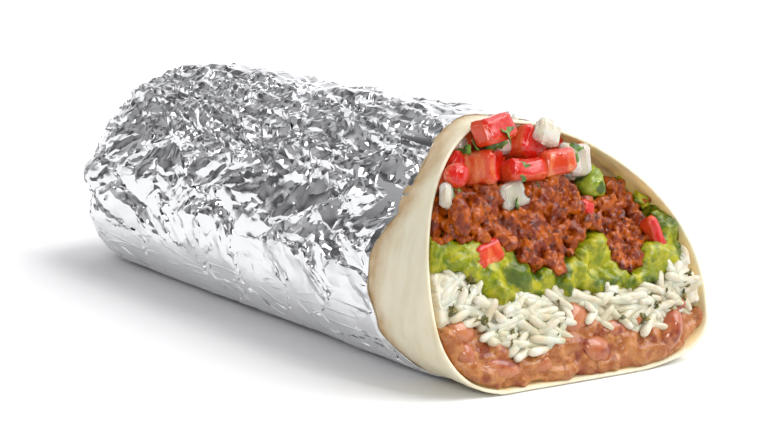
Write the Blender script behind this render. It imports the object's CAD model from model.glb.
"""The looks of a foil-wrapped burrito with one end cut off on a slant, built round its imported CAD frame.

The burrito lies along Y with its cut facing -Y and leaning back, and its closed end at +Y. Shapes are worked
out in millimetres and turned to metres when a piece is finished. Each part of the burrito is a class: the
crumpled foil, the soft tortilla, the layers of filling, the grains, granules, beans and dice that lie on
them, and the herbs. Every piece rides on the one body of the frame.
"""

import logging
import math
import random
from dataclasses import dataclass
from enum import Enum
from typing import Callable, Sequence

import bmesh
import bpy
from mathutils import Euler, Matrix, Vector, noise
from mathutils.bvhtree import BVHTree


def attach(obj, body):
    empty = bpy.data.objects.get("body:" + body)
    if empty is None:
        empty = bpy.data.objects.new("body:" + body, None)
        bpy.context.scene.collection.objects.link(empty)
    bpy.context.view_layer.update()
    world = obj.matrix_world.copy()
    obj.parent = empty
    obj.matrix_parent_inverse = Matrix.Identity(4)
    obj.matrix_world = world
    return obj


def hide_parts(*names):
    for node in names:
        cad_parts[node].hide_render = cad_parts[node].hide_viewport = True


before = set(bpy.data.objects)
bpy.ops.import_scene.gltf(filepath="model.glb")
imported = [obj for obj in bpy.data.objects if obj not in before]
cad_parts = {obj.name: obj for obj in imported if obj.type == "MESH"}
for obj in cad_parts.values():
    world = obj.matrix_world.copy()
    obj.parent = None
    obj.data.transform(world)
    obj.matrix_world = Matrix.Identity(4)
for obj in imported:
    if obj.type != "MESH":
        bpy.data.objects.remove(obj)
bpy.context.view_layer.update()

LOG = logging.getLogger("burrito")
MM = 0.001
BODY = "root"
NOISE_SEED = 7

Colour = tuple[float, float, float]
Address = tuple[float, float, float]


class Slot(Enum):
    """The material slots of the record."""

    FOIL = "foil"
    TORTILLA = "tortilla"
    BEANS = "refried_beans"
    RICE = "rice"
    GUACAMOLE = "guacamole"
    CRUMBLE = "seasoned_crumble"
    TOMATO = "tomato"
    ONION = "onion"
    WHOLE_BEAN = "whole_bean"


# ---------------------------------------------------------------- shader expressions


class Value:
    """A shader output that Python's operators work on, adding a Math node for each."""

    def __init__(self, shader: "Shader", output: bpy.types.NodeSocket) -> None:
        """Wraps one output of a node of the shader."""
        self.shader = shader
        self.output = output

    def math(self, operation: str, *terms: "Value | float") -> "Value":
        """Adds a Math node for the operation on the terms."""
        return self.shader.node("ShaderNodeMath", {"operation": operation}, dict(enumerate(terms)))

    def __add__(self, other: "Value | float") -> "Value":
        """The sum."""
        return self.math("ADD", self, other)

    def __radd__(self, other: float) -> "Value":
        """The sum, from the right."""
        return self.math("ADD", other, self)

    def __sub__(self, other: "Value | float") -> "Value":
        """The difference."""
        return self.math("SUBTRACT", self, other)

    def __rsub__(self, other: float) -> "Value":
        """The difference, from the right."""
        return self.math("SUBTRACT", other, self)

    def __mul__(self, other: "Value | float") -> "Value":
        """The product."""
        return self.math("MULTIPLY", self, other)

    def __rmul__(self, other: float) -> "Value":
        """The product, from the right."""
        return self.math("MULTIPLY", other, self)

    def step(self, low: float, high: float) -> "Value":
        """Runs from 0 at low to 1 at high, with a level start and end."""
        settings = {"interpolation_type": "SMOOTHSTEP"}
        return self.shader.node("ShaderNodeMapRange", settings, {0: self, 1: low, 2: high})


class Shader:
    """One material under construction round a Principled surface."""

    def __init__(self, name: str) -> None:
        """Starts a material of that name.

        Args:
            name: Its name.
        """
        self.material = bpy.data.materials.new(name)
        self.material.use_nodes = True
        self.tree = self.material.node_tree
        self.surface = self.tree.nodes["Principled BSDF"]

    def node(self, kind: str, settings: dict | None = None, inputs: dict | None = None, output: int = 0) -> Value:
        """Adds a node.

        Args:
            kind: The node's type.
            settings: Its properties, set first. "stops" holds a ramp's stops as (place, colour).
            inputs: Values or links by the socket's name or number.
            output: Which output to give back.

        Returns:
            The output as a value.
        """
        made = self.tree.nodes.new(kind)
        for key, setting in (settings or {}).items():
            if key == "stops":
                elements = made.color_ramp.elements
                while len(elements) < len(setting):
                    elements.new(0.5)
                for element, (place, colour) in zip(elements, setting):
                    element.position = place
                    element.color = (*colour, 1.0)
            else:
                setattr(made, key, setting)
        for key, value in (inputs or {}).items():
            self.feed(made.inputs[key], value)
        return Value(self, made.outputs[output])

    def feed(self, socket: bpy.types.NodeSocket, value: "Value | float | tuple") -> None:
        """Links a value to a socket, or sets a plain number or colour on it.

        Args:
            socket: The socket to feed.
            value: What it gets.
        """
        if isinstance(value, Value):
            self.tree.links.new(value.output, socket)
        elif isinstance(value, tuple) and len(value) == 3 and socket.type == "RGBA":
            socket.default_value = (*value, 1.0)
        else:
            socket.default_value = value

    def place(self, stretch: Address = (1.0, 1.0, 1.0), turn: Address = (0.0, 0.0, 0.0)) -> Value:
        """The place on the object in millimetres, stretched by a factor on each axis.

        Args:
            stretch: The factor on each axis.
            turn: The turn in degrees.

        Returns:
            The place.
        """
        coordinates = self.node("ShaderNodeTexCoord", output=3)
        scale = tuple(factor / MM for factor in stretch)
        turned = tuple(math.radians(angle) for angle in turn)
        return self.node("ShaderNodeMapping", None, {"Vector": coordinates, "Scale": scale, "Rotation": turned})

    def along_skin(self, stretch: Address, turn: float = 0.0) -> Value:
        """The place on the unrolled skin in millimetres, from its UV map.

        Args:
            stretch: The factor on each axis.
            turn: The turn in degrees.

        Returns:
            The place.
        """
        coordinates = self.node("ShaderNodeTexCoord", output=2)
        scale = tuple(factor * Skin.UV_SIZE for factor in stretch)
        rotation = (0.0, 0.0, math.radians(turn))
        return self.node("ShaderNodeMapping", None, {"Vector": coordinates, "Scale": scale, "Rotation": rotation})

    def speckle(self, size: float, detail: float = 2.0, at: Value | None = None, warp: float = 0.0) -> Value:
        """Cloudy noise from 0 to 1 with features of a size in millimetres."""
        inputs = {"Vector": at or self.place(), "Scale": 1.0 / size, "Detail": detail, "Distortion": warp}
        return self.node("ShaderNodeTexNoise", None, inputs)

    def cells(self, size: float, feature: str = "F1", at: Value | None = None) -> Value:
        """The distance field of cells of a size in millimetres."""
        inputs = {"Vector": at or self.place(), "Scale": 1.0 / size}
        return self.node("ShaderNodeTexVoronoi", {"feature": feature}, inputs)

    def attribute(self, name: str) -> Value:
        """A number kept on the mesh."""
        return self.node("ShaderNodeAttribute", {"attribute_name": name}, None, 2)

    def mix(self, share: "Value | float", first: "Value | Colour", second: "Value | Colour") -> Value:
        """A colour between two colours."""
        return self.node("ShaderNodeMix", {"data_type": "RGBA"}, {0: share, 6: first, 7: second}, 2)

    def bump(self, height: Value, strength: float, depth: float) -> None:
        """Gives the surface a relief, depth millimetres deep."""
        inputs = {"Strength": strength, "Distance": depth * MM, "Height": height}
        self.dress({"Normal": self.node("ShaderNodeBump", None, inputs)})

    def dress(self, sockets: dict) -> bpy.types.Material:
        """Feeds sockets of the surface by name and gives back the material.

        Args:
            sockets: Values or links by the socket's name.

        Returns:
            The material.
        """
        for name, value in sockets.items():
            self.feed(self.surface.inputs[name], value)
        return self.material


# ---------------------------------------------------------------- form


def eased(t: float) -> float:
    """Runs from 0 to 1 with a level start and end."""
    t = min(max(t, 0.0), 1.0)
    return t * t * (3.0 - 2.0 * t)


def eased_height(points: Sequence[tuple[float, float]], x: float) -> float:
    """The height at x of the eased curve through points.

    Args:
        points: The curve's points as (place, height).
        x: Across the section, in millimetres.

    Returns:
        The height.
    """
    if x <= points[0][0]:
        return points[0][1]
    for (x0, z0), (x1, z1) in zip(points, points[1:]):
        if x <= x1:
            return z0 + (z1 - z0) * eased((x - x0) / (x1 - x0))
    return points[-1][1]


@dataclass(frozen=True)
class WrapForm:
    """The burrito's outer form: four quarter superellipses round one centre, tapering to a rounded end."""

    length: float = 205.0
    lean: float = math.tan(math.radians(20.0))
    taper: float = 0.06
    tip_height: float = 27.0
    tip_closure: float = 0.8
    top_rounding: tuple[float, float] = (52.0, 2.0)
    side_rounding: tuple[float, float] = (34.0, 2.6)
    under_rounding: tuple[float, float] = (22.0, 2.4)
    centre: tuple[float, float] = (-14.0, 21.0)
    reach_right: float = 54.5
    reach_left: float = 26.5
    reach_top: float = 40.5
    reach_under: float = 21.0
    pressed: float = 0.5
    powers_top: tuple[float, float] = (1.8, 1.85)
    powers_under: tuple[float, float] = (4.2, 2.9)

    def section(self, angle: float, inset: float = 0.0) -> tuple[float, float]:
        """A point of the cut section at an angle, drawn in from the outer skin by inset.

        Args:
            angle: The angle round the section, in radians.
            inset: How far inside the outer skin, in millimetres.

        Returns:
            Across and up, in millimetres.
        """
        c, s = math.cos(angle), math.sin(angle)
        across = (self.reach_right if c > 0 else self.reach_left) - inset
        up = (self.reach_top if s > 0 else self.reach_under) - inset
        power = (self.powers_top if s > 0 else self.powers_under)[0 if c > 0 else 1]
        radius = (abs(c) ** power + abs(s) ** power) ** (-1.0 / power)
        x = self.centre[0] + across * c * radius
        z = self.centre[1] + up * s * radius
        return x, max(z, self.pressed + inset) - self.pressed

    @staticmethod
    def rounding(y: float, length: float, reach: float, power: float) -> float:
        """How much of the section is left at y where the last stretch, reach long, rounds to nothing."""
        t = min(max((y - (length - reach)) / reach, 0.0), 1.0)
        return (1.0 - t**power) ** (1.0 / power)

    def carry(self, x: float, y: float, z: float, shortened: float = 0.0) -> Vector:
        """Carries a point of the cut section to its place at y behind the cut's foot.

        Args:
            x: Across the section, in millimetres.
            y: How far behind the cut's foot, in millimetres.
            z: Up the section, in millimetres.
            shortened: How much shorter the form is, in millimetres.

        Returns:
            The place in millimetres.
        """
        length = self.length + self.tip_closure - shortened
        scale = 1.0 - self.taper * y / self.length
        x *= scale * self.rounding(y, length, *self.side_rounding)
        z *= scale
        z_rounding = self.top_rounding if z > self.tip_height else self.under_rounding
        z = self.tip_height + (z - self.tip_height) * self.rounding(y, length, *z_rounding)
        return Vector((x, y - self.length / 2.0, z))

    def skin_point(self, angle: float, y: float, inset: float = 0.0, shortened: float = 0.0) -> Vector:
        """A point of the skin at an angle round the section and a distance behind the cut's foot."""
        x, z = self.section(angle, inset)
        return self.carry(x, y, z, shortened)

    def held(self, point: Vector, inset: float = 1.3) -> Vector:
        """The point, or the nearest one towards the centre that keeps inset from the outer skin.

        Args:
            point: A point in millimetres.
            inset: How far inside the outer skin, in millimetres.

        Returns:
            The point inside the wall.
        """
        across, up = point.x - self.centre[0], point.z + self.pressed - self.centre[1]
        across /= (self.reach_right if across > 0 else self.reach_left) - inset
        up /= (self.reach_top if up > 0 else self.reach_under) - inset
        power = (self.powers_top if up > 0 else self.powers_under)[0 if across > 0 else 1]
        over = (abs(across) ** power + abs(up) ** power) ** (1.0 / power)
        if over <= 1.0:
            return point
        x = self.centre[0] + (point.x - self.centre[0]) / over
        z = self.centre[1] + (point.z + self.pressed - self.centre[1]) / over - self.pressed
        return Vector((x, point.y, z))

    def on_cut(self, x: float, z: float, behind: float = 0.0) -> Vector:
        """A point so far behind the slanted plane of the cut."""
        return Vector((x, z * self.lean + behind - self.length / 2.0, z))

    def behind_cut(self, point: Vector) -> float:
        """How far a point lies behind the slanted plane of the cut."""
        return point.y + self.length / 2.0 - point.z * self.lean


FORM = WrapForm()


def add_piece(
    name: str,
    bm: bmesh.types.BMesh,
    finish: bpy.types.Material,
    nodes: Sequence[str] = (),
    crease: float | None = None,
) -> bpy.types.Object:
    """Finishes a piece that is in millimetres and in its place.

    Args:
        name: The piece's name.
        bm: Its mesh, which is used up.
        finish: Its material.
        nodes: The CAD nodes that it stands for.
        crease: The angle in degrees past which an edge stays sharp, or None for a smooth piece.

    Returns:
        The object, riding on the burrito's body.
    """
    bmesh.ops.scale(bm, vec=(MM, MM, MM), verts=bm.verts[:])
    mesh = bpy.data.meshes.new(name)
    bm.to_mesh(mesh)
    bm.free()
    mesh.materials.append(finish)
    mesh.shade_smooth()
    if crease is not None:
        mesh.set_sharp_from_angle(angle=math.radians(crease))
    made = bpy.data.objects.new(name, mesh)
    bpy.context.scene.collection.objects.link(made)
    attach(made, BODY)
    if nodes:
        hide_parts(*nodes)
    LOG.info("%s: %d faces, stands for %s", name, len(mesh.polygons), ", ".join(nodes) or "nothing")
    return made


def cad_copy(node: str) -> bmesh.types.BMesh:
    """A merged copy of a CAD node's mesh, in millimetres.

    Args:
        node: The CAD node's name.

    Returns:
        The mesh.
    """
    bm = bmesh.new()
    bm.from_mesh(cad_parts[node].data)
    bmesh.ops.remove_doubles(bm, verts=bm.verts[:], dist=MM / 100.0)
    bmesh.ops.scale(bm, vec=(1.0 / MM, 1.0 / MM, 1.0 / MM), verts=bm.verts[:])
    for layer in list(bm.loops.layers.uv.values()):
        bm.loops.layers.uv.remove(layer)
    bmesh.ops.recalc_face_normals(bm, faces=bm.faces[:])
    return bm


# ---------------------------------------------------------------- skins


class Skin:
    """A closed pouch made from one flat grid: across it goes round the section, up it from tip to tip."""

    UV_SIZE = 100.0

    def __init__(self, steps: int, rows: Sequence[Callable[[float], Vector]]) -> None:
        """Rolls a grid into a pouch.

        Args:
            steps: How many steps go round.
            rows: For each ring from the outer tip to the inner tip, the place at an angle.
        """
        self.bm = bmesh.new()
        bmesh.ops.create_grid(self.bm, x_segments=steps, y_segments=len(rows) - 1, size=0.5)
        self.angle = self.bm.verts.layers.float.new("angle")
        self.row = self.bm.verts.layers.int.new("row")
        for vert in self.bm.verts:
            vert[self.angle] = (vert.co.x + 0.5) * math.tau
            vert[self.row] = round((vert.co.y + 0.5) * (len(rows) - 1))
            vert.co = rows[vert[self.row]](vert[self.angle])
        bmesh.ops.remove_doubles(self.bm, verts=self.bm.verts[:], dist=0.004)
        bmesh.ops.recalc_face_normals(self.bm, faces=self.bm.faces[:])
        self.bm.normal_update()


@dataclass(frozen=True)
class FoilFinish:
    """Bright household foil: a mirror broken by creases, finest where it has been handled least."""

    colour: Colour = (0.77, 0.775, 0.785)
    roughness: float = 0.12

    def build(self) -> bpy.types.Material:
        """The material."""
        shader = Shader("household_foil")
        calm = shader.attribute("calm")
        skin = shader.along_skin((1.0, 1.0, 1.0))
        crumple = shader.speckle(2.6, 4.0, skin, 0.6)
        streaks = shader.speckle(4.0, 1.5, shader.along_skin((1.0, 0.14, 1.0), 38.0), 0.3)
        line = 1.0 - streaks.math("ABSOLUTE", streaks - 0.5).step(0.0, 0.05)
        drawn = line * shader.speckle(12.0, 1.0, skin).step(0.38, 0.55)
        smudge = shader.speckle(18.0, 3.0, skin)
        shader.bump(crumple * (0.2 - calm * 0.05) + drawn * calm * 0.8, 0.4, 0.4)
        rough = smudge * 0.08 + calm * 0.24 + (self.roughness - 0.04)
        return shader.dress({"Base Color": self.colour, "Metallic": 1.0, "Roughness": rough})


@dataclass
class Foil:
    """The crumpled foil: facets broken into smaller and smaller ones, wrapped round the burrito."""

    edge: tuple[tuple[float, float], ...] = (
        (-40, 15), (0, 25), (50, 27), (90, 31), (140, 25.5), (172, 35), (200, 30.5), (225, 22), (270, 13),
        (320, 15),
    )
    cells_round: int = 22
    cells_along: int = 12
    levels: int = 4
    slopes: tuple[float, ...] = (0.15, 0.21, 0.20, 0.09, 0.02)
    jitter: float = 0.62
    seam: float = -90.0
    wall: float = 0.45
    calm_height: float = 19.0
    inner_stations: tuple[float, ...] = (62.0, 100.0, 152.0, 168.0, 182.0, 193.0, 201.0, 204.5)
    lowest: float = -0.25
    loose: float = -0.12
    lap: float = 6.0
    turn_steps: int = 2880
    sheet_length: float = 196.0

    def front(self, angle: float) -> float:
        """How far behind the cut's foot the foil's front edge lies at an angle, with its small tears.

        Args:
            angle: The angle round the section, in radians.

        Returns:
            The distance in millimetres.
        """
        degrees = (math.degrees(angle) + 40.0) % 360.0 - 40.0
        ragged = noise.noise(Vector((math.cos(angle) * 5.0, math.sin(angle) * 5.0, 0.7)))
        return eased_height(self.edge, degrees) + 0.8 * ragged

    def angles(self) -> tuple[list[list[float]], float]:
        """Measures the way round the section.

        Returns:
            The angles at fine steps with the way travelled to each, and the whole way's length.
        """
        turn = [math.radians(self.seam) + math.tau * step / self.turn_steps for step in range(self.turn_steps + 1)]
        points = [Vector(FORM.section(angle)) for angle in turn]
        run = [0.0]
        for a, b in zip(points, points[1:]):
            run.append(run[-1] + (b - a).length)
        return [turn, run], run[-1]

    def along(self, angle: float, travelled: float, whole: float) -> float:
        """The distance behind the cut's foot after a way travelled over the skin from the front edge.

        Args:
            angle: The angle round the section, in radians.
            travelled: The way travelled over the skin, in millimetres.
            whole: The whole way over the skin, in millimetres.

        Returns:
            The distance in millimetres.
        """
        start = self.front(angle)
        bend = FORM.length - FORM.top_rounding[0]
        straight = bend - start
        arc = FORM.top_rounding[0] * 1.25
        way = travelled / whole * (straight + arc)
        if way <= straight:
            return start + way
        quarter = (way - straight) / arc * math.pi / 2.0
        return bend + (FORM.top_rounding[0] + FORM.tip_closure) * math.sin(quarter)

    def unevenness(self, level: int, spot: Vector) -> float:
        """How strongly the foil is crumpled at a level of detail, at a spot of the skin.

        Args:
            level: The level of detail, 0 for the coarsest.
            spot: The spot on the form.

        Returns:
            The factor on the crumple.
        """
        calm = eased((self.calm_height - spot.z) / 5.0)
        broad = eased((34.0 - spot.z) / 6.0)
        top = eased((spot.z - 46.0) / 7.0)
        patch = 0.75 + 1.0 * eased(0.5 + 0.9 * noise.noise(spot * 0.045 + Vector((3.1, 0.0, 0.0))))
        if level >= 2:
            return patch * (1.0 - 0.93 * calm) * (1.0 - 0.35 * broad) * (1.0 - 0.88 * top)
        return (1.0 - 0.8 * calm) * (1.0 - 0.6 * top)

    @staticmethod
    def long_creases(angle: float, spot: Vector) -> float:
        """The long creases drawn along the top.

        Args:
            angle: The angle round the section, in radians.
            spot: The spot on the form.

        Returns:
            The height in millimetres.
        """
        high = eased((spot.z - 36.0) / 12.0)
        drawn = noise.noise(Vector((math.degrees(angle) / 7.0 + spot.y / 40.0, spot.y / 24.0, 2.3)))
        finer = noise.noise(Vector((math.degrees(angle) / 3.6 + spot.y / 30.0, spot.y / 17.0, 6.1)))
        return high * (1.5 * (0.5 - abs(drawn) * 2.0) + 0.8 * (0.5 - abs(finer) * 2.0))

    def sheet(self) -> tuple[bmesh.types.BMesh, list[list[float]]]:
        """Crumples the sheet while it is laid out flat.

        Returns:
            The sheet with its height in Z, and the angles and ways of the section that it goes round.
        """
        turns, girth = self.angles()
        whole = self.sheet_length
        bm = bmesh.new()
        bmesh.ops.create_grid(bm, x_segments=self.cells_round, y_segments=self.cells_along, size=0.5)
        for vert in bm.verts:
            vert.co = Vector(((vert.co.x + 0.5) * girth, (vert.co.y + 0.5) * whole, 0.0))
        size = Vector((girth / self.cells_round, whole / self.cells_along))
        fresh = bm.verts[:]
        for level in range(self.levels + 1):
            for vert in fresh:
                angle = self.angle_at(turns, vert.co.x)
                spot = FORM.skin_point(angle, self.along(angle, min(max(vert.co.y, 0.0), whole), whole))
                dart = noise.cell_vector(spot * 1.7 + Vector((0.37 + 7.0 * level, 0.41, 0.43)))
                vert.co.x += (dart.x - 0.5) * self.jitter * size.x
                if 0.01 < vert.co.y < whole - 0.01:
                    vert.co.y += (dart.y - 0.5) * self.jitter * size.y
                step = min(size.x, size.y)
                vert.co.z += (dart.z - 0.5) * 2.0 * step * self.slopes[level] * self.unevenness(level, spot)
            if level == 0:
                bmesh.ops.triangulate(bm, faces=bm.faces[:], quad_method="BEAUTY")
            if level < self.levels:
                old = set(bm.verts)
                bmesh.ops.subdivide_edges(bm, edges=bm.edges[:], cuts=1, use_grid_fill=True)
                fresh = [vert for vert in bm.verts if vert not in old]
                size = size * 0.5
        return bm, turns

    @staticmethod
    def angle_at(turns: list[list[float]], run: float) -> float:
        """The angle after a run round the section, beyond either end too.

        Args:
            turns: The angles, and the way travelled to each.
            run: The way travelled round the section.

        Returns:
            The angle in radians.
        """
        angles, runs = turns
        whole = runs[-1]
        extra = math.floor(run / whole)
        rest = run - extra * whole
        low, high = 0, len(runs) - 1
        while high - low > 1:
            middle = (low + high) // 2
            if runs[middle] <= rest:
                low = middle
            else:
                high = middle
        share = (rest - runs[low]) / max(runs[high] - runs[low], 1e-9)
        return angles[low] + (angles[high] - angles[low]) * share + extra * math.tau

    @staticmethod
    def folded_back(height: float) -> float:
        """Turns a dent that would reach the tortilla into a low ridge."""
        return height if height > 0.0 else -0.75 * height

    def pleats(self, angle: float, y: float) -> float:
        """The folds that gather the foil at the closed end.

        Args:
            angle: The angle round the section, in radians.
            y: How far behind the cut's foot, in millimetres.

        Returns:
            The height in millimetres.
        """
        gathered = eased((y - (FORM.length - 34.0)) / 30.0)
        wave = math.sin(9.0 * angle + 1.7 * math.sin(2.0 * angle + 0.4)) + 0.5 * math.sin(17.0 * angle + 1.0)
        return gathered * wave * 0.9

    def build(self) -> bpy.types.Object:
        """Wraps the crumpled sheet round the burrito and closes it with an inner wall."""
        bm, turns = self.sheet()
        whole = self.sheet_length
        unrolled = bm.loops.layers.uv.new("unrolled")
        for face in bm.faces:
            for loop in face.loops:
                loop[unrolled].uv = loop.vert.co.xy / Skin.UV_SIZE
        angle_of = bm.verts.layers.float.new("angle")
        rise = bm.verts.layers.float.new("rise")
        calm = bm.verts.layers.float.new("calm")
        for vert in bm.verts:
            angle = self.angle_at(turns, vert.co.x)
            y = self.along(angle, min(max(vert.co.y, 0.0), whole), whole)
            spot = FORM.skin_point(angle, y)
            vert[angle_of] = angle
            vert[calm] = eased((self.calm_height - spot.z) / 7.0)
            hem = eased((y - self.front(angle) + 0.6) / 2.0)
            crumple = vert.co.z + self.pleats(angle, y) + self.long_creases(angle, spot)
            low = self.lowest + 0.4 * (1.0 - hem)
            vert[rise] = low + self.folded_back(0.3 + 0.25 * hem + crumple * (0.12 + 0.88 * hem) - low)
            vert.co = spot
        bmesh.ops.remove_doubles(bm, verts=bm.verts[:], dist=0.004)
        bmesh.ops.recalc_face_normals(bm, faces=bm.faces[:])
        bm.normal_update()
        for vert in bm.verts:
            moved = vert.co + vert.normal * vert[rise]
            vert.co = Vector((moved.x, moved.y, max(moved.z, 0.0)))
        ring = [edge for edge in bm.edges if edge.is_boundary]
        for station in (0.0, self.lap, *self.inner_stations, FORM.length - self.wall + FORM.tip_closure):
            grown = bmesh.ops.extrude_edge_only(bm, edges=ring)["geom"]
            for vert in (item for item in grown if isinstance(item, bmesh.types.BMVert)):
                near = station <= self.lap
                y = self.front(vert[angle_of]) + station if near else station
                vert.co = FORM.skin_point(vert[angle_of], y, self.loose if near else self.wall, self.wall)
            ring = [item for item in grown if isinstance(item, bmesh.types.BMEdge)]
        bmesh.ops.remove_doubles(bm, verts=bm.verts[:], dist=0.002)
        bmesh.ops.recalc_face_normals(bm, faces=bm.faces[:])
        return add_piece("crumpled_foil", bm, FoilFinish().build(), ["foil"], 11.0)


@dataclass(frozen=True)
class TortillaFinish:
    """Soft flour dough: cream, mottled along the roll, toasted in spots, oily yellow inside."""

    dough: Colour = (0.76, 0.70, 0.53)
    shade: Colour = (0.66, 0.58, 0.39)
    toasted: Colour = (0.44, 0.26, 0.10)
    oily: Colour = (0.92, 0.76, 0.42)
    glow: Colour = (0.90, 0.62, 0.25)

    def build(self) -> bpy.types.Material:
        """The material."""
        shader = Shader("flour_tortilla")
        mottled = shader.speckle(3.6, 3.0, shader.place((1.0, 1.0, 0.3)), 0.4).step(0.4, 0.68)
        cloudy = shader.speckle(11.0, 2.0).step(0.4, 0.75)
        dough = shader.mix(mottled * 0.5 + cloudy * 0.4, self.dough, self.shade)
        spots = 1.0 - shader.cells(7.0).step(0.01, 0.055)
        seldom = shader.speckle(15.0, 1.0).step(0.52, 0.62)
        dough = shader.mix(spots * seldom * 0.7, dough, self.toasted)
        uneven = shader.speckle(3.0, 3.0).step(0.2, 0.8)
        browned = shader.attribute("toast") * (uneven * 0.6 + 0.5)
        dough = shader.mix(browned.math("MINIMUM", browned, 1.0), dough, self.toasted)
        inside = shader.attribute("inside") * shader.speckle(7.0, 2.0).step(0.1, 0.7)
        colour = shader.mix(inside * 0.8, dough, self.oily)
        shader.bump(shader.speckle(2.2, 4.0) * 0.7 + shader.speckle(6.0, 2.0), 0.35, 0.5)
        shader.dress({"Subsurface Weight": 0.2, "Subsurface Scale": 0.003, "Subsurface Radius": (1.0, 0.7, 0.4)})
        shader.dress({"Emission Color": shader.mix(inside, (0.0, 0.0, 0.0), self.glow), "Emission Strength": 0.22})
        return shader.dress({"Base Color": colour, "Roughness": 0.62 - inside * 0.25})


@dataclass
class Tortilla:
    """The tortilla: a soft tube, bare by the cut, with a rounded rim and its end folded in."""

    foil: Foil
    steps: int = 220
    wall: float = 0.85
    under_foil: float = 0.8
    folded_end: float = 9.0
    lap: float = 5.0
    bare_rows: int = 20
    tip_backs: tuple[float, ...] = (52.0, 38.0, 26.0, 17.0, 10.0, 5.0, 2.0, 0.8)
    body: tuple[float, ...] = (58.0, 76.0, 100.0, 130.0)
    rounded_rim: tuple[tuple[float, float], ...] = ((0.12, 0.14), (0.35, 0.0), (0.65, 0.0), (0.88, 0.14), (1.0, 0.5))
    inner_depths: tuple[float, ...] = (1.5, 3.0, 5.0, 7.0, 9.5, 12.0, 14.5)
    flap: tuple[tuple[float, float], ...] = ((0.0, 268.0), (8.0, 254.0), (16.0, 243.0), (26.0, 236.0), (40.0, 232.0))

    def front(self, angle: float, z: float) -> float:
        """Where the rim lies behind the cut's foot, with its slight unevenness."""
        ripple = noise.noise(Vector((math.cos(angle) * 2.6, math.sin(angle) * 2.6, 4.0)))
        return z * FORM.lean + 0.45 * ripple

    def rim(self, angle: float, inset: float, forward: float) -> Vector:
        """A point of the rim, drawn in by inset and set back by forward."""
        x, z = FORM.section(angle, inset)
        return FORM.carry(x, self.front(angle, z) + forward, z, self.under_foil)

    def bare(self, angle: float, share: float) -> Vector:
        """A point of the bare outside, from the foil's edge at 0 to the rim at 1.

        Args:
            angle: The angle round the section, in radians.
            share: How far along, from 0 to 1.

        Returns:
            The place in millimetres.
        """
        x, z = FORM.section(angle)
        start = self.foil.front(angle) + self.lap
        end = self.front(angle, z) + 0.5
        y = start + (end - start) * share
        point = FORM.carry(x, y, z, self.under_foil)
        outward = Vector((math.cos(angle), 0.0, math.sin(angle)))
        soft = 0.35 * noise.noise(point * 0.13) + 0.18 * noise.noise(point * 0.35)
        free = eased(share / 0.3) * (1.0 - eased((share - 0.85) / 0.15))
        return point + outward * (soft * free)

    def rows(self) -> list[Callable[[float], Vector]]:
        """The rings of the pouch from the outer tip to the inner tip."""
        tip = FORM.length + FORM.tip_closure
        rows: list[Callable[[float], Vector]] = []
        hidden, shortened = self.under_foil, self.under_foil + self.folded_end
        for y in reversed((*self.body, *(tip - hidden - back for back in self.tip_backs[:-1]), tip - hidden)):
            rows.append(lambda angle, y=y: FORM.skin_point(angle, y, hidden, hidden))
        rows.append(lambda angle: FORM.skin_point(angle, self.foil.front(angle) + 2.4 * self.lap, hidden, hidden))
        for step in range(self.bare_rows + 1):
            rows.append(lambda angle, share=step / self.bare_rows: self.bare(angle, share))
        for share, forward in self.rounded_rim:
            rows.append(lambda angle, inset=share * self.wall, forward=forward: self.rim(angle, inset, forward))
        for depth in self.inner_depths:
            rows.append(lambda angle, depth=depth: self.rim(angle, self.wall, depth))
        drawn_in = hidden + 1.4
        for y in (46.0, 95.0, *(tip - shortened - back for back in self.tip_backs[:-1]), tip - shortened):
            rows.append(lambda angle, y=y: FORM.skin_point(angle, y, drawn_in, shortened))
        return rows

    def paint(self, skin: Skin) -> None:
        """Marks where the dough is toasted and where it is inside.

        Args:
            skin: The rolled skin.
        """
        toast = skin.bm.verts.layers.float.new("toast")
        inside = skin.bm.verts.layers.float.new("inside")
        first_bare = len(self.body) + len(self.tip_backs) + 1
        last_bare = first_bare + self.bare_rows
        for vert in skin.bm.verts:
            row, angle = vert[skin.row], vert[skin.angle]
            if row <= last_bare:
                y = vert.co.y + FORM.length / 2.0
                from_foil = self.foil.front(angle) + 0.5 - y
                reach = 5.0 + 5.0 * (0.5 + noise.noise(Vector((math.cos(angle) * 3, math.sin(angle) * 3, 9.0))))
                left = eased((-vert.co.x) / 20.0) * eased(vert.co.z / 12.0)
                vert[toast] = (1.0 - eased(from_foil / reach)) * (0.35 + 0.6 * left)
                seam = eased_height(self.flap, y)
                off = abs(math.degrees(angle) - seam)
                vert[toast] = max(vert[toast], 0.8 * (1.0 - eased(off / 3.0)) if y > 5.0 else 0.0)
            else:
                vert[inside] = eased((row - last_bare - 4) / 2.0)

    def build(self) -> bpy.types.Object:
        """The tortilla as one closed skin."""
        skin = Skin(self.steps, self.rows())
        self.paint(skin)
        return add_piece("soft_tortilla", skin.bm, TortillaFinish().build(), ["tortilla"])


# ---------------------------------------------------------------- fillings


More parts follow.
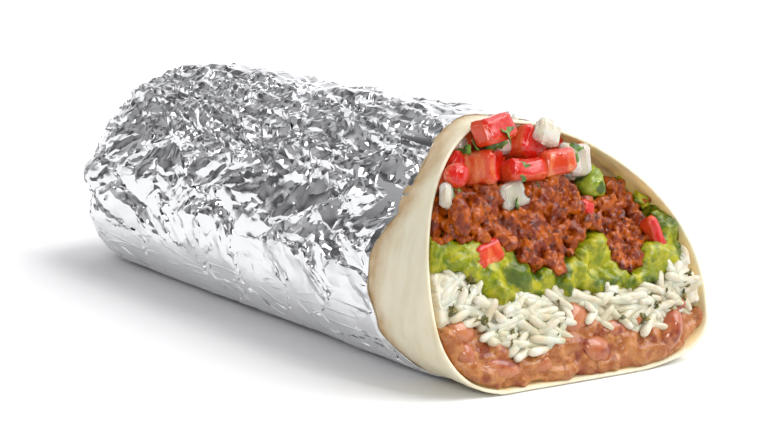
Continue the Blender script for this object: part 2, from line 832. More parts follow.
@dataclass(frozen=True)
class FoodFinish:
    """A moist food: two tones in soft patches, a third in flecks, and a faint uneven gloss."""

    name: str
    main: Colour
    second: Colour
    flecks: Colour
    patch: float
    fleck: float
    fleck_share: float = 0.25
    roughness: float = 0.3
    coat: float = 0.3
    grain: float = 1.2
    relief: float = 0.3
    depth: float = 0.1
    tinted: bool = False
    beads: float = 0.0

    def build(self) -> bpy.types.Material:
        """The material."""
        shader = Shader(self.name)
        patches = shader.speckle(self.patch, 3.0, None, 0.5).step(0.38, 0.64)
        colour = shader.mix(patches, self.main, self.second)
        if self.tinted:
            colour = shader.mix(shader.attribute("tint"), colour, self.second)
        flecked = shader.speckle(self.fleck, 2.0, shader.place(turn=(20, 35, 10)))
        edge = 0.64 - 0.3 * self.fleck_share
        colour = shader.mix(flecked.step(edge, edge + 0.14) * 0.85, colour, self.flecks)
        gloss = shader.speckle(self.patch * 0.6, 2.0).step(0.3, 0.7)
        height = shader.speckle(self.grain, 3.0)
        if self.beads:
            height = height * 0.4 + (1.0 - shader.cells(self.beads).step(0.0, 0.75))
        shader.bump(height, self.relief, 0.4)
        shader.dress({"Coat Weight": self.coat, "Coat Roughness": 0.06, "Specular IOR Level": 0.3})
        shader.dress({"Subsurface Weight": self.depth, "Subsurface Scale": 0.002})
        return shader.dress({"Base Color": colour, "Roughness": gloss * 0.22 + (self.roughness - 0.08)})


@dataclass
class CutFace:
    """Finds the surface of the filling at a place on the cut, before any of it is dressed."""

    fillings: tuple[str, ...] = ("beans", "rice", "guacamole", "crumble", "salsa")
    stand_off: float = 12.0
    sight: float = 40.0

    def __post_init__(self) -> None:
        """Builds a search tree for each filling."""
        self.trees = {}
        for node in self.fillings:
            bm = cad_copy(node)
            self.trees[node] = BVHTree.FromBMesh(bm)
            bm.free()

    def look(self, x: float, z: float) -> tuple[str, Vector, Vector] | None:
        """The first filling seen straight into the cut at x and z.

        Args:
            x: Across the section, in millimetres.
            z: Up the section, in millimetres.

        Returns:
            The filling's node, the place and the direction its surface faces, or None where there is none.
        """
        start = FORM.on_cut(x, z, -self.stand_off)
        found = None
        for node, tree in self.trees.items():
            place, normal, _, distance = tree.ray_cast(start, Vector((0.0, 1.0, 0.0)), self.sight)
            if place is not None and (found is None or distance < found[0]):
                found = (distance, node, place, normal)
        return found[1:] if found else None


@dataclass
class Layer:
    """A layer of filling: the CAD layer with its front broken up into relief."""

    name: str
    node: str
    finish: FoodFinish
    slot: Slot
    relief: Callable[[Vector], float]
    target: float = 0.75
    shown_depth: float = 14.0
    smoothing: int = 2
    lowest: float = 1.0
    passes: int = 5

    def build(self) -> bpy.types.Object:
        """Refines the front of the layer, softens it and pushes its relief out."""
        bm = cad_copy(self.node)
        for _ in range(self.passes):
            edges = [edge for edge in bm.edges if self.wanted(edge)]
            if not edges:
                break
            bmesh.ops.subdivide_edges(bm, edges=edges, cuts=1)
            bmesh.ops.triangulate(bm, faces=[face for face in bm.faces if len(face.verts) > 3])
        shown = [vert for vert in bm.verts if FORM.behind_cut(vert.co) < self.shown_depth]
        for _ in range(self.smoothing):
            bmesh.ops.smooth_vert(bm, verts=shown, factor=0.5, use_axis_x=True, use_axis_y=True, use_axis_z=True)
        bm.normal_update()
        moves = [(vert, vert.normal * self.relief(vert.co) * self.fade(vert.co)) for vert in shown]
        for vert, move in moves:
            vert.co = FORM.held(vert.co + move)
            vert.co.z = max(vert.co.z, self.lowest)
        return add_piece(self.name, bm, self.finish.build(), [self.node])

    def wanted(self, edge: bmesh.types.BMEdge) -> bool:
        """Whether an edge is near the cut and still too long."""
        near = all(FORM.behind_cut(vert.co) < self.shown_depth for vert in edge.verts)
        return near and edge.calc_length() > self.target * 1.4

    def fade(self, place: Vector) -> float:
        """How much of the relief shows at a place: all of it at the cut, none deep inside."""
        return 1.0 - eased((FORM.behind_cut(place) - 6.0) / 8.0)


def lumps(place: Vector, size: float, sharp: float = 1.0) -> float:
    """Rounded lumps of a size in millimetres packed together, from 0 between them to 1 on top."""
    near = noise.voronoi(place / size)[0][0]
    return max(0.0, 1.0 - (near * 1.25) ** 2) ** (0.5 * sharp)


def bean_relief(place: Vector) -> float:
    """Mash with half-crushed beans in it."""
    crushed = lumps(place + Vector((2.0, 5.0, 1.0)), 9.0) * 1.5
    return crushed + 1.2 * noise.noise(place / 3.6) + 0.8 * noise.noise(place / 1.8) + 0.1


def rice_relief(place: Vector) -> float:
    """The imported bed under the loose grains."""
    return 0.8 * lumps(place, 3.6) - 0.2


def guacamole_relief(place: Vector) -> float:
    """Soft spooned folds with small chunks."""
    folds = 2.4 * noise.noise(place / 5.0) + 1.1 * noise.noise(place / 2.6)
    return folds + 1.0 * lumps(place, 3.2) + 0.45 * noise.noise(place / 1.2) + 0.8


def crumble_relief(place: Vector) -> float:
    """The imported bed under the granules."""
    return 1.3 * noise.noise(place / 7.0) + 0.9 * lumps(place, 3.2) - 0.5


def salsa_relief(place: Vector) -> float:
    """The wet bed under the dice."""
    return 0.8 * noise.noise(place / 4.0)


BEAN_MASH = FoodFinish(
    "bean_mash", (0.33, 0.10, 0.022), (0.46, 0.19, 0.06), (0.22, 0.035, 0.012), 2.8, 4.0, 0.4, 0.18, 0.25, 1.1, 0.9,
)
STEAMED_RICE = FoodFinish(
    "steamed_rice", (0.68, 0.64, 0.51), (0.56, 0.50, 0.34), (0.72, 0.69, 0.60), 5.0, 3.0, 0.3, 0.3, 0.2, 3.0, 0.04,
    0.18,
)
MASHED_AVOCADO = FoodFinish(
    "mashed_avocado", (0.20, 0.235, 0.002), (0.40, 0.38, 0.014), (0.04, 0.09, 0.003), 2.6, 6.5, 0.6, 0.22, 0.15, 0.8,
    0.45,
)
SAUCED_CRUMBLE = FoodFinish(
    "sauced_crumble", (0.18, 0.02, 0.001), (0.42, 0.085, 0.001), (0.07, 0.008, 0.001), 2.4, 3.0, 0.34, 0.18, 0.12,
    0.6, 0.8, 0.03, False, 1.8,
)
SALSA_BED = FoodFinish(
    "salsa_bed", (0.42, 0.05, 0.02), (0.50, 0.14, 0.06), (0.20, 0.02, 0.01), 4.0, 3.0, 0.3, 0.25, 0.4, 1.0, 0.3,
)
BEAN_SKIN = FoodFinish(
    "bean_skin", (0.36, 0.075, 0.028), (0.47, 0.17, 0.065), (0.20, 0.03, 0.015), 5.0, 4.0, 0.4, 0.2, 0.6, 1.6, 0.25,
    0.1, True,
)
AVOCADO_CHUNK = FoodFinish(
    "avocado_chunk", (0.15, 0.22, 0.012), (0.30, 0.36, 0.02), (0.03, 0.07, 0.008), 4.0, 3.0, 0.5, 0.24, 0.4, 1.0, 0.3,
)


def fillings() -> list[Layer]:
    """The layers from the beans up to the salsa."""
    return [
        Layer("mashed_beans", "beans", BEAN_MASH, Slot.BEANS, bean_relief),
        Layer("packed_rice", "rice", STEAMED_RICE, Slot.RICE, rice_relief),
        Layer("spooned_guacamole", "guacamole", MASHED_AVOCADO, Slot.GUACAMOLE, guacamole_relief, 0.7),
        Layer("packed_crumble", "crumble", SAUCED_CRUMBLE, Slot.CRUMBLE, crumble_relief, 0.8),
        Layer("salsa_bed", "salsa", SALSA_BED, Slot.TOMATO, salsa_relief),
    ]


# ---------------------------------------------------------------- scattered pieces


class Heap:
    """Many small closed shapes gathered in one mesh."""

    def __init__(self) -> None:
        """Starts empty, with a tint kept on each shape."""
        self.bm = bmesh.new()
        self.tint = self.bm.verts.layers.float.new("tint")

    def add(self, verts: list[bmesh.types.BMVert], place: Matrix, tint: float) -> None:
        """Puts new vertices in their place and tints them.

        Args:
            verts: The new vertices.
            place: Where it goes, or the place asked about.
            tint: Its tint from 0 to 1.
        """
        for vert in verts:
            vert.co = FORM.held(place @ vert.co)
            vert[self.tint] = tint

    def ball(self, detail: int) -> list[bmesh.types.BMVert]:
        """A new ball of radius 0.5."""
        return bmesh.ops.create_icosphere(self.bm, subdivisions=detail, radius=0.5)["verts"]

    def stretched(self, u: int, v: int) -> list[bmesh.types.BMVert]:
        """A new ball of radius 0.5 with its poles on X."""
        turned = Matrix.Rotation(math.pi / 2.0, 4, "Y")
        return bmesh.ops.create_uvsphere(self.bm, u_segments=u, v_segments=v, radius=0.5, matrix=turned)["verts"]


@dataclass
class Grains:
    """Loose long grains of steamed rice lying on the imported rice."""

    face: CutFace
    dice: random.Random
    count: int = 165
    length: tuple[float, float] = (8.8, 11.4)
    width: tuple[float, float] = (2.4, 2.9)
    spread: float = 32.0

    def grain(self, heap: Heap, place: Matrix) -> None:
        """One grain: blunt ends, a slight bend and a slight flat.

        Args:
            heap: The heap it joins.
            place: Where it goes, or the place asked about.
        """
        long = self.dice.uniform(*self.length)
        wide = self.dice.uniform(*self.width)
        bend = self.dice.uniform(-0.5, 0.5)
        for vert in (verts := heap.stretched(9, 9)):
            x = vert.co.x * 2.0
            around = max(1.0 - x * x, 1e-6) ** 0.5
            girth = wide * (1.0 - 0.08 * x) * (1.0 - min(abs(x), 1.0) ** 6.0) ** 0.5 / around
            vert.co = Vector((x * long / 2, vert.co.y * girth + bend * x * x, vert.co.z * girth * 0.86))
        heap.add(verts, place, self.dice.random())

    def build(self) -> bpy.types.Object:
        """Scatters the grains where the rice shows at the cut."""
        heap = Heap()
        placed = 0
        while placed < self.count:
            x, z = self.dice.uniform(-40.0, 40.0), self.dice.uniform(8.0, 33.0)
            seen = self.face.look(x, z)
            layer = self.dice.random()
            angle = self.dice.gauss(0.0, self.spread) + 62.0 * eased((x - 12.0) / 16.0) * (1 - eased((x - 30) / 6.0))
            pitch = self.dice.gauss(0.0, 16.0)
            if seen is None or seen[0] != "rice":
                continue
            way = math.radians(angle)
            ends = [self.face.look(x + s * 4.2 * math.cos(way), z - s * 4.2 * math.sin(way)) for s in (-1.0, 1.0)]
            if None in ends:
                continue
            turn = Euler((math.radians(-20.0), 0.0, 0.0)).to_matrix().to_4x4()
            turn = turn @ Euler((0.0, math.radians(angle), math.radians(pitch)), "XYZ").to_matrix().to_4x4()
            point = seen[1] + Vector((0.0, 0.9 - 2.1 * layer, 0.0))
            self.grain(heap, Matrix.Translation(point) @ turn)
            placed += 1
        return add_piece("rice_grains", heap.bm, STEAMED_RICE.build())


@dataclass
class Granules:
    """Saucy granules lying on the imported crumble."""

    face: CutFace
    dice: random.Random
    count: int = 470
    size: tuple[float, float] = (2.2, 4.4)
    fused: float = 0.32

    def granule(self, heap: Heap, point: Vector, across: float) -> None:
        """One lumpy granule.

        Args:
            heap: The heap it joins.
            point: A point in millimetres.
            across: How wide it is, in millimetres.
        """
        verts = heap.ball(2)
        seed = Vector((self.dice.random() * 50.0, 0.0, 0.0))
        shape = Vector([self.dice.uniform(0.75, 1.2) for _ in range(3)])
        for vert in verts:
            swell = 1.0 + 0.45 * noise.noise(vert.co * 3.2 + seed)
            vert.co = Vector(c * s * swell * across for c, s in zip(vert.co, shape))
        turn = Euler([self.dice.uniform(0.0, math.tau) for _ in range(3)]).to_matrix().to_4x4()
        heap.add(verts, Matrix.Translation(point) @ turn, self.dice.random() ** 1.6)

    def build(self) -> bpy.types.Object:
        """Scatters the granules where the crumble shows at the cut."""
        heap = Heap()
        placed = 0
        while placed < self.count:
            x, z = self.dice.uniform(-35.5, 36.0), self.dice.uniform(18.0, 52.0)
            seen = self.face.look(x, z)
            share, out = self.dice.random(), self.dice.random()
            if seen is None or seen[0] != "crumble":
                continue
            across = self.size[0] + (self.size[1] - self.size[0]) * share**1.8
            self.granule(heap, seen[1] + Vector((0.0, 0.3 - 2.1 * out, 0.0)), across)
            placed += 1
        made = add_piece("crumble_granules", heap.bm, SAUCED_CRUMBLE.build())
        fuse = made.modifiers.new("fused", "REMESH")
        fuse.mode = "VOXEL"
        fuse.voxel_size = self.fused * MM
        fuse.use_smooth_shade = True
        return made


@dataclass(frozen=True)
class Bean:
    """A whole or part bean: its middle on the cut, how far behind it, its size, turn and tint."""

    middle: tuple[float, float]
    behind: float
    size: Address
    turn: Address
    tint: float


@dataclass
class Beans:
    """Whole and broken beans sunk in the mash, and one in the crumble."""

    pieces: tuple[Bean, ...] = (
        Bean((26.4, 7.6), 0.4, (11.5, 6.4, 6.6), (-20, -58, 8), 0.15),
        Bean((4.2, 6.2), 1.3, (10.6, 6.2, 7.4), (-20, 24, 6), 0.35),
        Bean((10.6, 10.0), 1.4, (8.6, 5.0, 5.4), (-20, 12, -8), 0.1),
        Bean((-1.0, 13.8), 1.4, (9.0, 6.0, 8.4), (-20, -30, 10), 0.8),
        Bean((-33.0, 14.6), 1.5, (8.4, 5.6, 6.4), (-20, 20, 10), 0.7),
        Bean((-32.6, 9.4), 1.6, (7.0, 5.4, 6.0), (-20, 60, 0), 0.0),
        Bean((-23.6, 5.6), 1.2, (11.8, 5.4, 5.6), (-20, 12, 0), 0.2),
        Bean((19.2, 11.4), 1.7, (8.0, 5.0, 5.0), (-20, 4, 20), 0.5),
        Bean((-12.0, 5.2), 1.9, (9.0, 5.0, 5.6), (-20, -12, 0), 0.6),
        Bean((31.6, 13.2), 2.2, (7.4, 5.0, 5.4), (-20, -40, 0), 0.6),
    )

    def shape(self, heap: Heap, bean: Bean) -> None:
        """One bean, kidney-shaped along its length.

        Args:
            heap: The heap it joins.
            bean: The bean to make.
        """
        verts = heap.ball(4)
        for vert in verts:
            x, y, z = vert.co * 2.0
            hollow = 0.14 * (1.0 - x * x) * (1.0 if z < 0 else 0.0) * abs(z)
            uneven = 1.0 + 0.07 * noise.noise(vert.co * 3.0 + Vector((*bean.middle, 0.0)))
            z = z + hollow - 0.12 * (1.0 - x * x)
            vert.co = Vector((x * bean.size[0], y * bean.size[1], z * bean.size[2])) * 0.5 * uneven
        turn = Euler([math.radians(angle) for angle in bean.turn]).to_matrix().to_4x4()
        heap.add(verts, Matrix.Translation(FORM.on_cut(*bean.middle, bean.behind)) @ turn, bean.tint)

    def build(self) -> None:
        """Makes the beans in the mash and the one in the crumble."""
        heap = Heap()
        for bean in self.pieces:
            self.shape(heap, bean)
        add_piece("whole_beans", heap.bm, BEAN_SKIN.build(), ["whole_bean_1", "whole_bean_2"])
        lone = Heap()
        self.shape(lone, Bean((-29.2, 40.2), -2.6, (10.4, 5.4, 6.0), (-20, 78, 0), 0.75))
        add_piece("crumble_bean", lone.bm, SAUCED_CRUMBLE.build())


# ---------------------------------------------------------------- dice and herbs


@dataclass(frozen=True)
class TomatoFinish:
    """Wet tomato: deep red skin on one side, paler flesh with streaks and seeds on the others."""

    skin: Colour = (0.52, 0.008, 0.001)
    flesh: Colour = (0.58, 0.045, 0.008)
    pale: Colour = (0.70, 0.20, 0.07)

    def build(self) -> bpy.types.Material:
        """The material."""
        shader = Shader("wet_tomato")
        streaks = shader.speckle(3.2, 3.0, shader.place((1.0, 1.0, 0.5)), 0.8).step(0.42, 0.68)
        pulp = shader.mix(streaks * shader.attribute("pale"), self.flesh, self.pale)
        colour = shader.mix(shader.attribute("skin"), pulp, self.skin)
        shader.bump(shader.speckle(1.3, 3.0), 0.4, 0.45)
        shader.dress({"Coat Weight": 0.2, "Coat Roughness": 0.06, "Subsurface Weight": 0.1})
        shader.dress({"Subsurface Scale": 0.002, "Subsurface Radius": (1.0, 0.25, 0.1)})
        gloss = shader.speckle(2.0, 2.0).step(0.3, 0.7)
        return shader.dress({"Base Color": colour, "Roughness": gloss * 0.2 + 0.1})


@dataclass(frozen=True)
class OnionFinish:
    """Wet raw onion: clear white with faint layer lines, pinker at one end."""

    clear: Colour = (0.84, 0.79, 0.62)
    white: Colour = (0.93, 0.91, 0.82)
    blush: Colour = (0.72, 0.42, 0.38)

    def build(self) -> bpy.types.Material:
        """The material."""
        shader = Shader("wet_onion")
        lines = shader.speckle(2.4, 1.0, shader.place((1.0, 1.0, 0.2), (0, 25, 0)), 0.3).step(0.4, 0.62)
        colour = shader.mix(lines, self.clear, self.white)
        colour = shader.mix(shader.attribute("pale") * 0.75, colour, self.blush)
        shader.bump(shader.speckle(1.6, 2.0), 0.2, 0.3)
        shader.dress({"Coat Weight": 0.5, "Coat Roughness": 0.08, "Subsurface Weight": 0.2})
        shader.dress({"Subsurface Scale": 0.003, "Transmission Weight": 0.5, "IOR": 1.36})
        return shader.dress({"Base Color": colour, "Roughness": lines * 0.15 + 0.2})


@dataclass(frozen=True)
class Diced:
    """How one diced piece is dressed: the way its skin faces and how pale its flesh is."""

    node: str
    skin_way: Address
    pale: float


@dataclass
class Dice:
    """The diced tomato, onion and pepper of the salsa, each one cut by hand."""

    swell: float = 1.24
    tomato: tuple[Diced, ...] = (
        Diced("tomato_1", (0.1, -0.5, 0.9), 0.15),
        Diced("tomato_2", (-0.4, -0.8, 0.4), 0.2),
        Diced("tomato_3", (0.0, -1.0, 0.4), 0.3),
        Diced("tomato_4", (0.8, -0.6, 0.1), 0.9),
        Diced("tomato_5", (0.3, -0.9, 0.3), 0.35),
        Diced("tomato_6", (-0.1, -0.4, 0.9), 0.45),
        Diced("tomato_7", (0.5, 0.2, 0.8), 1.0),
        Diced("tomato_8", (0.2, -0.8, 0.5), 0.25),
        Diced("pepper_1", (0.0, -0.2, 1.0), 0.9),
        Diced("pepper_2", (0.2, -1.0, 0.1), 0.1),
        Diced("pepper_3", (0.0, -1.0, 0.3), 0.1),
    )
    onion: tuple[Diced, ...] = (
        Diced("onion_1", (0, 0, 1), 0.8),
        Diced("onion_2", (0, 0, 1), 0.0),
        Diced("onion_3", (0, 0, 1), 0.0),
        Diced("onion_4", (0, 0, 1), 0.0),
        Diced("onion_5", (0, 0, 1), 0.0),
    )

    def shape(self, piece: Diced) -> bmesh.types.BMesh:
        """The CAD block with softened, slightly uneven faces.

        Args:
            piece: The diced piece.

        Returns:
            The mesh, with its skin and paleness in layers.
        """
        bm = cad_copy(piece.node)
        bmesh.ops.subdivide_edges(bm, edges=bm.edges[:], cuts=2, use_grid_fill=True)
        bmesh.ops.triangulate(bm, faces=[face for face in bm.faces if len(face.verts) > 3])
        bmesh.ops.subdivide_edges(bm, edges=bm.edges[:], cuts=1, use_grid_fill=True)
        middle = sum((vert.co for vert in bm.verts), Vector()) / len(bm.verts)
        bmesh.ops.scale(bm, vec=(self.swell,) * 3, space=Matrix.Translation(-middle), verts=bm.verts[:])
        bm.normal_update()
        skin, pale = (bm.verts.layers.float.new(name) for name in ("skin", "pale"))
        way = Vector(piece.skin_way).normalized()
        for vert in bm.verts:
            vert[skin] = eased((vert.normal.dot(way) - 0.45) / 0.25)
            vert[pale] = piece.pale
        moves = [vert.normal * 0.1 + noise.noise_vector(vert.co / 4.5) * 0.6 for vert in bm.verts]
        for vert, move in zip(bm.verts, moves):
            vert.co += move
        return bm

    def build(self) -> None:
        """Makes each piece in its place."""
        red, white = TomatoFinish().build(), OnionFinish().build()
        for piece in self.tomato:
            add_piece(f"diced_{piece.node}", self.shape(piece), red, [piece.node])
        for piece in self.onion:
            add_piece(f"diced_{piece.node}", self.shape(piece), white, [piece.node])
        self.fill(red, white)

    def fill(self, red: bpy.types.Material, white: bpy.types.Material) -> None:
        """Packs smaller dice behind the first ones, over the salsa bed.

        Args:
            red: The tomato's finish.
            white: The onion's finish.
        """
        draw = random.Random(5)
        heaps = {"tomato": bmesh.new(), "onion": bmesh.new()}
        layers = {key: [bm.verts.layers.float.new(name) for name in ("skin", "pale")] for key, bm in heaps.items()}
        for x, z, kind in self.gaps():
            bm, (skin, pale) = heaps[kind], layers[kind]
            size = Vector([draw.uniform(3.6, 5.8) for _ in range(3)])
            verts = bmesh.ops.create_cube(bm, size=1.0)["verts"]
            edges = list(dict.fromkeys(edge for vert in verts for edge in vert.link_edges))
            bmesh.ops.scale(bm, vec=size, verts=verts)
            soft = bmesh.ops.bevel(
                bm, geom=edges, offset=0.7, segments=3, profile=0.5, affect="EDGES", material=-1,
            )["verts"]
            turn = Euler([draw.uniform(-0.7, 0.7) for _ in range(3)]).to_matrix().to_4x4()
            place = Matrix.Translation(FORM.on_cut(x, z, draw.uniform(3.6, 5.6))) @ turn
            seed = Vector((x, z, 0.0))
            paleness = draw.choice((0.1, 0.4, 0.9)) if kind == "tomato" else 0.1
            for vert in self.connected(soft[0]):
                vert.co = place @ (vert.co * (1.0 + 0.08 * noise.noise(vert.co / 2.0 + seed)))
                vert[skin] = 1.0 if vert.co.y > place.translation.y + size.y * 0.3 else 0.0
                vert[pale] = paleness
        add_piece("tomato_bits", heaps["tomato"], red)
        add_piece("onion_bits", heaps["onion"], white)

    @staticmethod
    def connected(start: bmesh.types.BMVert) -> set[bmesh.types.BMVert]:
        """All the vertices joined to one.

        Args:
            start: A vertex of the shape.

        Returns:
            Every vertex joined to it.
        """
        found, waiting = {start}, [start]
        while waiting:
            for edge in waiting.pop().link_edges:
                for vert in edge.verts:
                    if vert not in found:
                        found.add(vert)
                        waiting.append(vert)
        return found

    @staticmethod
    def gaps() -> tuple[tuple[float, float, str], ...]:
        """Where a small piece fills a gap: across, up and what it is."""
        return (
            (-26.5, 46.4, "tomato"), (-22.0, 47.8, "tomato"), (-21.5, 55.0, "onion"), (-13.0, 50.5, "tomato"),
            (-6.5, 55.0, "tomato"), (-1.5, 47.8, "tomato"), (4.6, 48.6, "tomato"), (9.6, 46.6, "onion"),
            (4.0, 55.8, "onion"), (-9.8, 58.2, "tomato"), (-25.2, 48.2, "tomato"), (11.6, 50.6, "tomato"),
            (-4.6, 57.4, "onion"), (0.4, 53.4, "tomato"), (-17.6, 54.6, "tomato"),
        )


@dataclass(frozen=True)
class LeafFinish:
    """Chopped fresh or dried leaf."""

    name: str
    lit: Colour
    dark: Colour

    def build(self) -> bpy.types.Material:
        """The material."""
        shader = Shader(self.name)
        colour = shader.mix(shader.speckle(1.6, 2.0).step(0.35, 0.65), self.lit, self.dark)
        shader.bump(shader.speckle(0.9, 2.0), 0.3, 0.2)
        return shader.dress({"Base Color": colour, "Roughness": 0.42, "Coat Weight": 0.2})


@dataclass(frozen=True)
class Sprig:
    """A leaf on the cut: its middle, how far in front of the cut it lies, its size and turn."""

    middle: tuple[float, float]
    behind: float
    size: float
    turn: Address


@dataclass
class Herbs:
    """Chopped coriander on the salsa and dried herb in the rice."""

    face: CutFace
    dice: random.Random
    sprigs: tuple[Sprig, ...] = (
        Sprig((-13.4, 58.4), -6.2, 5.0, (70, 0, 30)),
        Sprig((-15.8, 55.8), -2.4, 5.0, (80, 0, -30)),
        Sprig((-19.6, 54.2), -0.6, 5.2, (75, 0, 70)),
        Sprig((-22.4, 53.6), 0.4, 4.0, (80, 0, 120)),
        Sprig((-9.8, 49.2), -4.2, 4.4, (75, 0, 10)),
        Sprig((-4.0, 46.2), -0.6, 4.0, (80, 0, 50)),
        Sprig((8.6, 51.4), -1.6, 4.2, (80, 0, 0)),
        Sprig((-28.4, 45.0), -1.8, 4.2, (75, 0, 20)),
        Sprig((-12.6, 41.9), -2.4, 2.6, (80, 0, 60)),
    )
    flecks: int = 46

    def leaf(self, heap: Heap, place: Matrix, size: float, lobes: float = 0.32) -> None:
        """A small lobed leaf, cupped and thin.

        Args:
            heap: The heap it joins.
            place: Where it goes, or the place asked about.
            size: Its size in millimetres.
            lobes: How deep its lobes are cut.
        """
        rim = 20
        made = bmesh.ops.create_circle(heap.bm, cap_ends=True, cap_tris=True, segments=rim, radius=0.5)["verts"]
        for vert in made:
            angle = math.atan2(vert.co.y, vert.co.x)
            reach = vert.co.length * 2.0
            cut = 1.0 + lobes * math.cos(3.0 * angle) + 0.14 * math.cos(9.0 * angle)
            vert.co = Vector((vert.co.x, vert.co.y, 0.0)) * cut * size
            vert.co.z = 0.16 * size * reach * reach * math.cos(2.0 * angle + size)
        heap.add(made, place, 0.0)

    def thicken(self, heap: Heap, thickness: float) -> None:
        """Gives every leaf its thickness."""
        bmesh.ops.recalc_face_normals(heap.bm, faces=heap.bm.faces[:])
        bmesh.ops.solidify(heap.bm, geom=heap.bm.faces[:], thickness=thickness)

    def build(self) -> None:
        """Lays the sprigs on the salsa and the flecks on the rice."""
        green = Heap()
        for sprig in self.sprigs:
            turn = Euler([math.radians(angle) for angle in sprig.turn]).to_matrix().to_4x4()
            self.leaf(green, Matrix.Translation(FORM.on_cut(*sprig.middle, sprig.behind)) @ turn, sprig.size)
        self.thicken(green, 0.18)
        fresh = LeafFinish("fresh_coriander", (0.14, 0.27, 0.02), (0.035, 0.085, 0.01))
        add_piece("coriander", green.bm, fresh.build())
        dry = Heap()
        placed = 0
        while placed < self.flecks:
            seen = self.face.look(self.dice.uniform(-38.0, 38.0), self.dice.uniform(10.0, 30.0))
            turn = Euler([math.radians(70.0), 0.0, self.dice.uniform(0.0, 6.0)]).to_matrix().to_4x4()
            size, out = self.dice.uniform(0.9, 2.3), self.dice.uniform(1.3, 2.4)
            if seen is None or seen[0] != "rice":
                continue
            self.leaf(dry, Matrix.Translation(seen[1] - Vector((0.0, out, 0.0))) @ turn, size, 0.45)
            placed += 1
        self.thicken(dry, 0.14)
        dried = LeafFinish("dried_herb", (0.23, 0.18, 0.03), (0.08, 0.08, 0.015))
        add_piece("rice_herbs", dry.bm, dried.build())


@dataclass
class GuacamoleLump:
    """The lump of avocado on the crumble, and the smears up the tortilla's inside."""

    smears: tuple[Bean, ...] = (
        Bean((29.2, 37.6), 4.4, (3.4, 2.6, 5.0), (-20, -38, 0), 0.0),
        Bean((25.4, 42.0), 6.5, (2.2, 1.6, 3.4), (-20, -42, 0), 0.0),
        Bean((32.6, 32.0), 2.6, (3.6, 3.0, 6.6), (-20, -28, 0), 0.0),
    )

    def build(self) -> None:
        """Makes the lump from its CAD solid, and the smears."""
        bm = cad_copy("guacamole_lump")
        bmesh.ops.subdivide_edges(bm, edges=bm.edges[:], cuts=2, use_grid_fill=True)
        bm.normal_update()
        lumpy = [1.5 * noise.noise(vert.co / 3.2) + 0.4 * noise.noise(vert.co / 1.4) for vert in bm.verts]
        for vert, out in zip(bm.verts, lumpy):
            vert.co += vert.normal * out
        finish = MASHED_AVOCADO.build()
        add_piece("avocado_lump", bm, AVOCADO_CHUNK.build(), ["guacamole_lump"])
        heap = Heap()
        for smear in self.smears:
            verts = heap.ball(4)
            for vert in verts:
                swell = 1.0 + 0.5 * noise.noise(vert.co * 3.0 + Vector((*smear.middle, 0.0)))
                vert.co = Vector(c * s * swell for c, s in zip(vert.co, smear.size))
            turn = Euler([math.radians(angle) for angle in smear.turn]).to_matrix().to_4x4()
            heap.add(verts, Matrix.Translation(FORM.on_cut(*smear.middle, smear.behind)) @ turn, 0.0)
        add_piece("avocado_smears", heap.bm, finish)


# ---------------------------------------------------------------- studio


class SkyLight(Shader):
    """The light of the room: white, with dark flags behind on the left and a dim side in front."""

    FLAG = (-0.42, 0.78, 0.42)
    FRONT = (-0.35, -0.93, 0.1)
    DIM = (0.22, 0.22, 0.23)
    TONES = ((0.35, 1.5), (0.52, 1.4), (0.66, 1.05), (0.76, 0.8), (0.83, 0.06), (0.88, 0.7), (0.93, 0.03), (1.0, 0.5))

    def __init__(self, world: bpy.types.World) -> None:
        """Works in the world's nodes."""
        self.tree = world.node_tree
        self.surface = self.tree.nodes["Background"]

    def towards(self, way: Address) -> Value:
        """How far a direction agrees with a way, from -1 to 1.

        Args:
            way: The direction to compare with.

        Returns:
            The agreement.
        """
        coordinates = self.node("ShaderNodeTexCoord")
        inputs = {0: coordinates, 1: Vector(way).normalized()}
        return self.node("ShaderNodeVectorMath", {"operation": "DOT_PRODUCT"}, inputs, 1)

    def build(self) -> None:
        """Sets the room's light."""
        stops = [(place, (tone, tone, tone * 1.02)) for place, tone in self.TONES]
        room = self.node("ShaderNodeValToRGB", {"stops": stops}, {0: self.towards(self.FLAG)})
        dim = self.towards(self.FRONT).step(-0.1, 0.6)
        self.feed(self.surface.inputs["Color"], self.mix(dim, room, self.DIM))


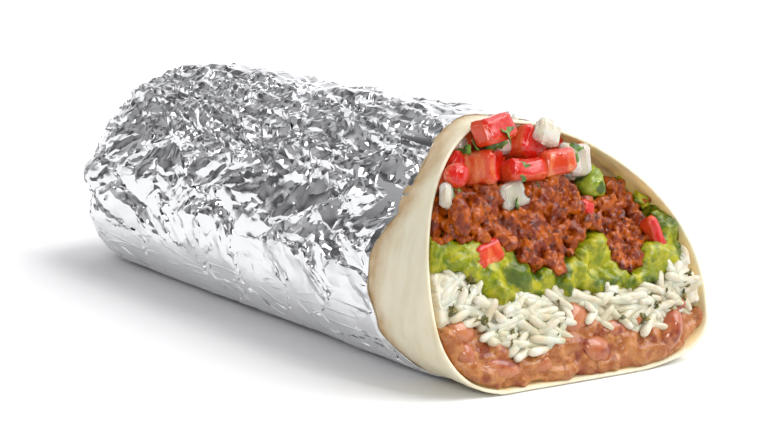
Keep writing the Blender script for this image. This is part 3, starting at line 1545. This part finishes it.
@dataclass
class Studio:
    """A pale floor, soft white light from above, and the camera."""

    target: Address = (10.4, -1.3, 21.2)
    azimuth: float = -33.5
    elevation: float = 10.9
    distance: float = 652.0
    lens: float = 110.63
    floor_size: float = 9.0
    key_strength: float = 2.25
    fill_power: float = 4.0
    rim_power: float = 1.4
    sparkle_power: float = 2.2

    def floor(self) -> None:
        """The floor the burrito lies on."""
        bm = bmesh.new()
        bmesh.ops.create_grid(bm, x_segments=8, y_segments=8, size=self.floor_size / 2.0)
        mesh = bpy.data.meshes.new("studio_floor")
        bm.to_mesh(mesh)
        bm.free()
        shader = Shader("studio_floor_paint")
        pale = shader.mix(shader.speckle(400.0, 2.0), (0.84, 0.84, 0.84), (0.86, 0.86, 0.86))
        mesh.materials.append(shader.dress({"Base Color": pale, "Roughness": 0.9}))
        made = bpy.data.objects.new("studio_floor", mesh)
        made.location = (0.0, 0.0, -0.0002)
        bpy.context.scene.collection.objects.link(made)

    def light(self) -> None:
        """The soft key and the light of the room, bright overhead and dark at eye level."""
        lamp = bpy.data.lights.new("key", "SUN")
        lamp.energy = self.key_strength
        lamp.angle = math.radians(46.0)
        key = bpy.data.objects.new("key", lamp)
        key.rotation_euler = Vector((0.55, -0.42, 0.95)).to_track_quat("Z", "Y").to_euler()
        bpy.context.scene.collection.objects.link(key)
        self.panel("fill", self.fill_power, (0.34, 0.24), (-0.55, -1.05, 0.45))
        self.panel("rim", self.rim_power, (0.5, 0.16), (-0.95, 0.62, 0.62))
        self.panel("sparkle", self.sparkle_power, (0.1, 0.1), (0.25, -1.05, 0.8))
        world = bpy.data.worlds.new("studio")
        world.use_nodes = True
        bpy.context.scene.world = world
        SkyLight(world).build()

    def panel(self, name: str, power: float, size: tuple[float, float], place: Address) -> None:
        """A soft panel of light turned to the burrito.

        Args:
            name: Its name.
            power: Its power in watts.
            size: Its width and height in metres.
            place: Where it stands, in metres.
        """
        lamp = bpy.data.lights.new(name, "AREA")
        lamp.energy = power
        lamp.shape = "RECTANGLE"
        lamp.size, lamp.size_y = size
        made = bpy.data.objects.new(name, lamp)
        made.location = place
        made.rotation_euler = Vector(place).to_track_quat("Z", "Y").to_euler()
        bpy.context.scene.collection.objects.link(made)

    def camera(self) -> None:
        """The camera at its angle."""
        data = bpy.data.cameras.new("camera")
        data.lens = self.lens
        data.sensor_width = 36.0
        data.clip_start = 0.01
        az, el = math.radians(self.azimuth), math.radians(self.elevation)
        back = Vector((math.sin(az) * math.cos(el), -math.cos(az) * math.cos(el), math.sin(el)))
        made = bpy.data.objects.new("camera", data)
        made.location = (Vector(self.target) + back * self.distance) * MM
        made.rotation_euler = back.to_track_quat("Z", "Y").to_euler()
        bpy.context.scene.collection.objects.link(made)
        bpy.context.scene.camera = made

    def build(self) -> None:
        """Sets the studio up."""
        self.floor()
        self.light()
        self.camera()
        bpy.context.scene.view_settings.view_transform = "Standard"


def main() -> None:
    """Builds the burrito's pieces in order."""
    logging.basicConfig(level=logging.INFO, format="%(name)s: %(message)s")
    noise.seed_set(NOISE_SEED)
    face = CutFace()
    foil = Foil()
    foil.build()
    Tortilla(foil).build()
    for layer in fillings():
        layer.build()
    Grains(face, random.Random(11)).build()
    Granules(face, random.Random(12)).build()
    Beans().build()
    GuacamoleLump().build()
    Dice().build()
    Herbs(face, random.Random(13)).build()
    Studio().build()
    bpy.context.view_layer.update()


if __name__ == "__main__":
    main()
